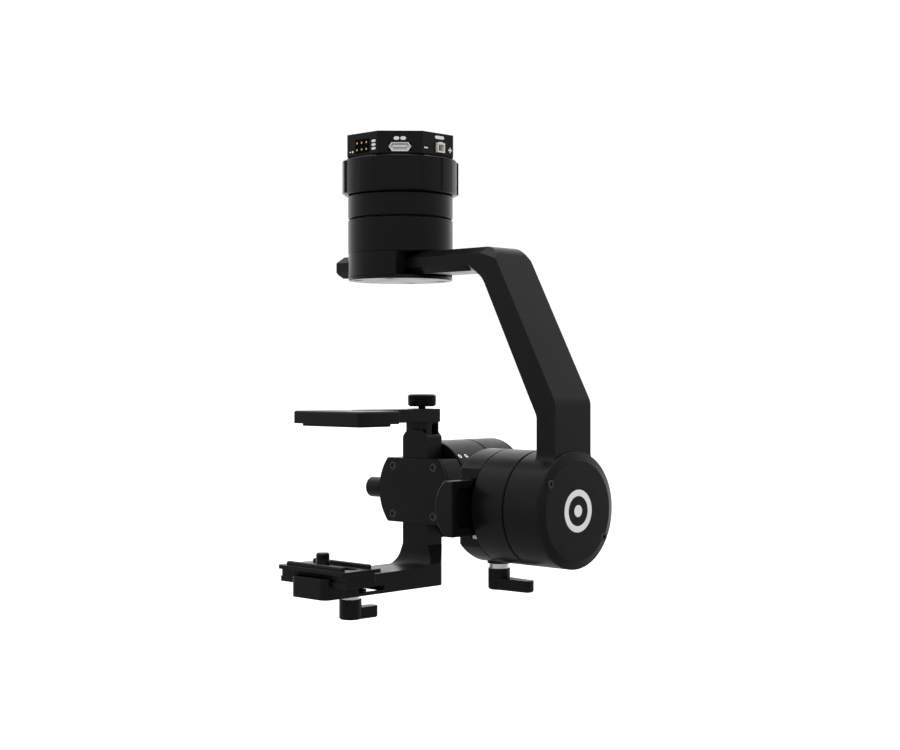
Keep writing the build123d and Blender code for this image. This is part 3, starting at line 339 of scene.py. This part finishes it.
def banded(name, dark, pale, axis, pitch, metallic, roughness):
    """Stacked laminations or wound wire: fine bands across an axis."""
    material, tree, shader, where = start_material(name, pale, metallic, roughness)
    wave = tree.nodes.new("ShaderNodeTexWave")
    wave.bands_direction = axis
    wave.inputs["Scale"].default_value = 1 / (pitch * WAVE_BANDS)
    wave.inputs["Distortion"].default_value = 0.4
    tree.links.new(where, wave.inputs["Vector"])
    tree.links.new(blend_colors(tree, wave.outputs["Fac"], dark, pale), shader.inputs["Base Color"])
    vary(tree, noise(tree, where, 900.0), shader.inputs["Roughness"], roughness * 0.8, roughness * 1.2)
    bump(tree, shader, wave.outputs["Fac"], 0.6, 0.08 * MM)
    return material


def moulded(name, color, roughness, grain_scale=3000.0, depth=0.15, shine=0.5):
    """Moulded plastic or rubber with a fine texture and slight colour drift."""
    material, tree, shader, where = start_material(name, color, 0.0, roughness)
    drift = noise(tree, where, 160.0, 3.0)
    grain = noise(tree, where, grain_scale, 2.0)
    shader.inputs["Specular IOR Level"].default_value = shine
    low = tuple(value * 0.85 for value in color)
    high = tuple(min(1.0, value * 1.1) for value in color)
    tree.links.new(blend_colors(tree, drift, low, high), shader.inputs["Base Color"])
    vary(tree, grain, shader.inputs["Roughness"], roughness - 0.06, roughness + 0.08)
    bump(tree, shader, grain, depth, 0.03 * MM)
    return material


def threaded(name, color, pitch):
    """Steel with a fine thread turned along Z."""
    material, tree, shader, where = start_material(name, color, 1.0, 0.34)
    wave = tree.nodes.new("ShaderNodeTexWave")
    wave.bands_direction = "Z"
    wave.wave_profile = "TRI"
    wave.inputs["Scale"].default_value = 1 / (pitch * WAVE_BANDS)
    tree.links.new(where, wave.inputs["Vector"])
    pale = tuple(value * 1.8 for value in color)
    tree.links.new(blend_colors(tree, wave.outputs["Fac"], color, pale), shader.inputs["Base Color"])
    vary(tree, noise(tree, where, 1500.0), shader.inputs["Roughness"], 0.28, 0.42)
    bump(tree, shader, wave.outputs["Fac"], 1.0, 0.25 * MM)
    return material


def circuit_board(name):
    """Green solder mask over copper tracks."""
    material, tree, shader, where = start_material(name, (0.02, 0.1, 0.05), 0.0, 0.35)
    brick = tree.nodes.new("ShaderNodeTexBrick")
    brick.inputs["Scale"].default_value = 420.0
    brick.inputs["Color1"].default_value = (0.012, 0.07, 0.035, 1)
    brick.inputs["Color2"].default_value = (0.02, 0.11, 0.05, 1)
    brick.inputs["Mortar"].default_value = (0.05, 0.19, 0.08, 1)
    tree.links.new(where, brick.inputs["Vector"])
    tree.links.new(brick.outputs["Color"], shader.inputs["Base Color"])
    vary(tree, noise(tree, where, 500.0), shader.inputs["Roughness"], 0.28, 0.42)
    bump(tree, shader, brick.outputs["Fac"], 0.3, 0.03 * MM)
    return material


# Paler edge colour of the anodised parts: abrasion and a painted highlight along edges.
EDGE_WEAR_AND_HIGHLIGHT = (0.06, 0.06, 0.063)
KNOB_EDGE = 0.06 * MM
THREAD_PITCH = 0.9 * MM
LOOKS = {
    "black_anodised": anodised("black_anodised", (0.0056, 0.0056, 0.0058), EDGE_WEAR_AND_HIGHLIGHT, 0.31),
    "black_steel": steel("black_steel", (0.055, 0.055, 0.058), 0.38),
    "bright_steel": steel("bright_steel", (0.80, 0.80, 0.81), 0.24),
    "lamination_steel": banded(
        "lamination_steel", (0.12, 0.12, 0.13), (0.36, 0.36, 0.38), "Z", 0.35 * MM, 1.0, 0.4
    ),
    "copper_enamel": banded(
        "copper_enamel", (0.30, 0.10, 0.03), (0.78, 0.33, 0.13), "DIAGONAL", 0.4 * MM, 0.9, 0.3
    ),
    "magnet_nickel": steel("magnet_nickel", (0.52, 0.51, 0.48), 0.3),
    "circuit_board": circuit_board("circuit_board"),
    "black_plastic": moulded("black_plastic", (0.0008, 0.0008, 0.0008), 0.6, shine=0.03),
    "white_plastic": moulded("white_plastic", (0.80, 0.79, 0.75), 0.42),
    "gold_pin": steel("gold_pin", (0.86, 0.60, 0.22), 0.26),
    "aluminium_pad": steel("aluminium_pad", (0.55, 0.55, 0.56), 0.36, stretch=(8, 1, 1)),
    "black_rubber": moulded("black_rubber", (0.010, 0.010, 0.010), 0.42, 1800.0, 0.2, shine=0.15),
}
WHITE_PRINT = moulded("white_print", (0.97, 0.97, 0.96), 0.55, 4000.0, 0.1)
KNOB_BLACK = anodised("knob_black", (0.0045, 0.0045, 0.0047), EDGE_WEAR_AND_HIGHLIGHT, 0.30, KNOB_EDGE)
SCREW_THREAD = threaded("screw_thread", (0.014, 0.014, 0.015), THREAD_PITCH)


def dress_cad_nodes():
    """Give each CAD node the finish of its material slot."""
    slots = {part["node"]: part["material_slot"] for part in frame["record"]["subparts"]}
    for name, node in NODES.items():
        node.data.materials.clear()
        node.data.materials.append(SCREW_THREAD if name == "camera_screw" else LOOKS[slots[name]])


# ------------------------------------------------------------------ printed marks
PRINT_T = 0.04 * MM
HEAD_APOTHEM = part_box("head_housing")[1].x
CORNER_STEPS = 10
RING_R = (7.4, 5.2)
DOT_D = 4.2


def rounded_bar(u, v, length, width):
    """The outline of a bar with round ends, in millimetres round its centre."""
    half = (length - width) / 2
    outline = []
    for end, start in ((1, -90), (-1, 90)):
        for step in range(CORNER_STEPS + 1):
            turn = math.radians(start + step * 180 / CORNER_STEPS)
            across = end * half + width / 2 * math.cos(turn)
            outline.append((u + across, v + width / 2 * math.sin(turn)))
    return outline


def plus_sign(u, v, size, width):
    """The outline of a plus, in millimetres round its centre."""
    far, near = size / 2, width / 2
    quarter = [(far, -near), (far, near), (near, near)]
    outline = []
    for turn in range(4):
        outline += quarter
        quarter = [(-y, x) for x, y in quarter]
    return [(u + x, v + y) for x, y in outline]


def ring_faces(outer, inner, count=72):
    """The faces of a flat ring, in millimetres."""
    circle = [(math.cos(math.tau * i / count), math.sin(math.tau * i / count)) for i in range(count)]
    faces = []
    for here, there in zip(circle, circle[1:] + circle[:1]):
        corners = ((here, inner), (here, outer), (there, outer), (there, inner))
        faces.append([(at[0] * radius, at[1] * radius) for at, radius in corners])
    return faces


def printed(name, outlines, origin, across, out, body):
    """A thin layer of white print on a flat face, from outlines in millimetres."""
    up = out.cross(across)
    mesh = bmesh.new()
    for outline in outlines:
        mesh.faces.new([mesh.verts.new(origin + MM * (u * across + v * up)) for u, v in outline])
    bmesh.ops.remove_doubles(mesh, verts=mesh.verts, dist=MM / 1000)
    raised = bmesh.ops.extrude_face_region(mesh, geom=mesh.faces[:])
    moved = [item for item in raised["geom"] if isinstance(item, bmesh.types.BMVert)]
    bmesh.ops.translate(mesh, verts=moved, vec=out * PRINT_T)
    bmesh.ops.recalc_face_normals(mesh, faces=mesh.faces)
    data = bpy.data.meshes.new(name)
    mesh.to_mesh(data)
    mesh.free()
    data.materials.append(WHITE_PRINT)
    piece = bpy.data.objects.new(name, data)
    bpy.context.scene.collection.objects.link(piece)
    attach(piece, body)


def print_on_facet(name, angle, outlines):
    """Print on a facet of the head; u runs anticlockwise seen from above, v is up from the top face."""
    turn = math.radians(angle)
    out = Vector((math.cos(turn), math.sin(turn), 0))
    across = Vector((-math.sin(turn), math.cos(turn), 0))
    printed(name, outlines, out * HEAD_APOTHEM, across, out, "mount_head")


def make_prints():
    """Plus and minus by the power socket, plain bars for the port labels, a ring on the rear cap."""
    print_on_facet("plus_mark", 90, [plus_sign(6.56, -5.85, 2.0, 0.5)])
    print_on_facet("minus_mark", 90, [rounded_bar(-6.4, -6.1, 2.0, 0.5)])
    print_on_facet("power_label", 90, [rounded_bar(0.85, -1.6, 4.8, 1.2)])
    print_on_facet("usb_label", 45, [rounded_bar(-1.3, -2.8, 2.1, 1.3), rounded_bar(1.2, -2.8, 2.1, 1.3)])
    print_on_facet("signal_labels", 0, [rounded_bar(6.2, v, 2.2, 0.9) for v in (-3.6, -5.0, -6.4)])
    print_on_facet("signal_key", 0, [rounded_bar(-5.2, -6.7, 0.8, 0.8), rounded_bar(-6.6, -6.7, 0.9, 0.4)])
    cap_face = Vector((ROLL_AXIS.x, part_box("roll_cap")[1].y, ROLL_AXIS.z))
    emblem = ring_faces(*RING_R) + [rounded_bar(0, 0, DOT_D, DOT_D)]
    printed("cap_ring", emblem, cap_face, Vector((-1, 0, 0)), Vector((0, 1, 0)), "pan_arm_assembly")


# ------------------------------------------------------------------ knurled thumb knob
# All in millimetres.
KNOB_HEIGHT = 4.7
KNURL_DEPTH = 0.28
KNURL_COUNT = 34
KNURL_SIDES = 12                              # mesh sides per groove
SHANK_R = 1.4
TIP_R = 1.1
TIP_CHAMFER = 0.3
RIM_TURN = 0.35                               # height of the turned rims and depth of the dish
RIM_R_DROPS = (0.3, 0.7, 1.6, 2.0)
GRIP_MARGIN = 0.55
GRIP_STEP = 0.1
GRIP_ROWS = 37
TOP_SKIM = 0.05


def knurled_radius(turn, height, knob_r):
    """A diamond knurl: two sets of opposite helical grooves."""
    lead = height / (math.tau * knob_r) * KNURL_COUNT
    groove = 0.0
    for way in (-1, 1):
        phase = (turn / math.tau * KNURL_COUNT + way * lead) % 1.0
        groove = max(groove, 1 - 4 * min(phase, 1 - phase))
    return knob_r - KNURL_DEPTH * max(0.0, groove)


def make_thumb_knob():
    """The thumb screw with its knurl, its turned rims, its dished top and its shank."""
    low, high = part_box("thumb_screw")
    axis = (low + high) / 2
    knob_r = (high.x - low.x) / 2 / MM
    tip, top = low.z / MM, high.z / MM
    base = top - KNOB_HEIGHT
    sides = KNURL_COUNT * KNURL_SIDES
    land, rim, dish_rim, dish = (knob_r - drop for drop in RIM_R_DROPS)
    # Height and radius of each ring of vertices; a radius of None is a knurled ring.
    rows = [(tip, 0.0), (tip, TIP_R), (tip + TIP_CHAMFER, SHANK_R), (base, SHANK_R), (base, rim)]
    rows += [(base + RIM_TURN, land)]
    rows += [(base + GRIP_MARGIN + step * GRIP_STEP, None) for step in range(GRIP_ROWS)]
    rows += [(top - RIM_TURN, land), (top - TOP_SKIM, rim), (top - TOP_SKIM, dish_rim)]
    rows += [(top - RIM_TURN, dish), (top - RIM_TURN, 0.0)]
    mesh = bmesh.new()
    rings = []
    for height, radius in rows:
        ring = []
        for side in range(sides):
            turn = math.tau * side / sides
            reach = knurled_radius(turn, height, knob_r) if radius is None else radius
            at = (axis.x + MM * reach * math.cos(turn), axis.y + MM * reach * math.sin(turn), MM * height)
            ring.append(mesh.verts.new(at))
        rings.append(ring)
    for lower, upper in zip(rings, rings[1:]):
        for side in range(sides):
            after = (side + 1) % sides
            mesh.faces.new((lower[side], lower[after], upper[after], upper[side]))
    bmesh.ops.remove_doubles(mesh, verts=mesh.verts, dist=MM / 10000)
    bmesh.ops.dissolve_degenerate(mesh, dist=MM / 10000, edges=mesh.edges)
    bmesh.ops.recalc_face_normals(mesh, faces=mesh.faces)
    data = bpy.data.meshes.new("knurled_thumb_screw")
    mesh.to_mesh(data)
    mesh.free()
    data.materials.append(KNOB_BLACK)
    piece = bpy.data.objects.new("knurled_thumb_screw", data)
    bpy.context.scene.collection.objects.link(piece)
    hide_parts("thumb_screw")
    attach(piece, "jaw_screw")


make_camera()
make_world()
make_lights()
make_floor()
dress_cad_nodes()
make_prints()
make_thumb_knob()
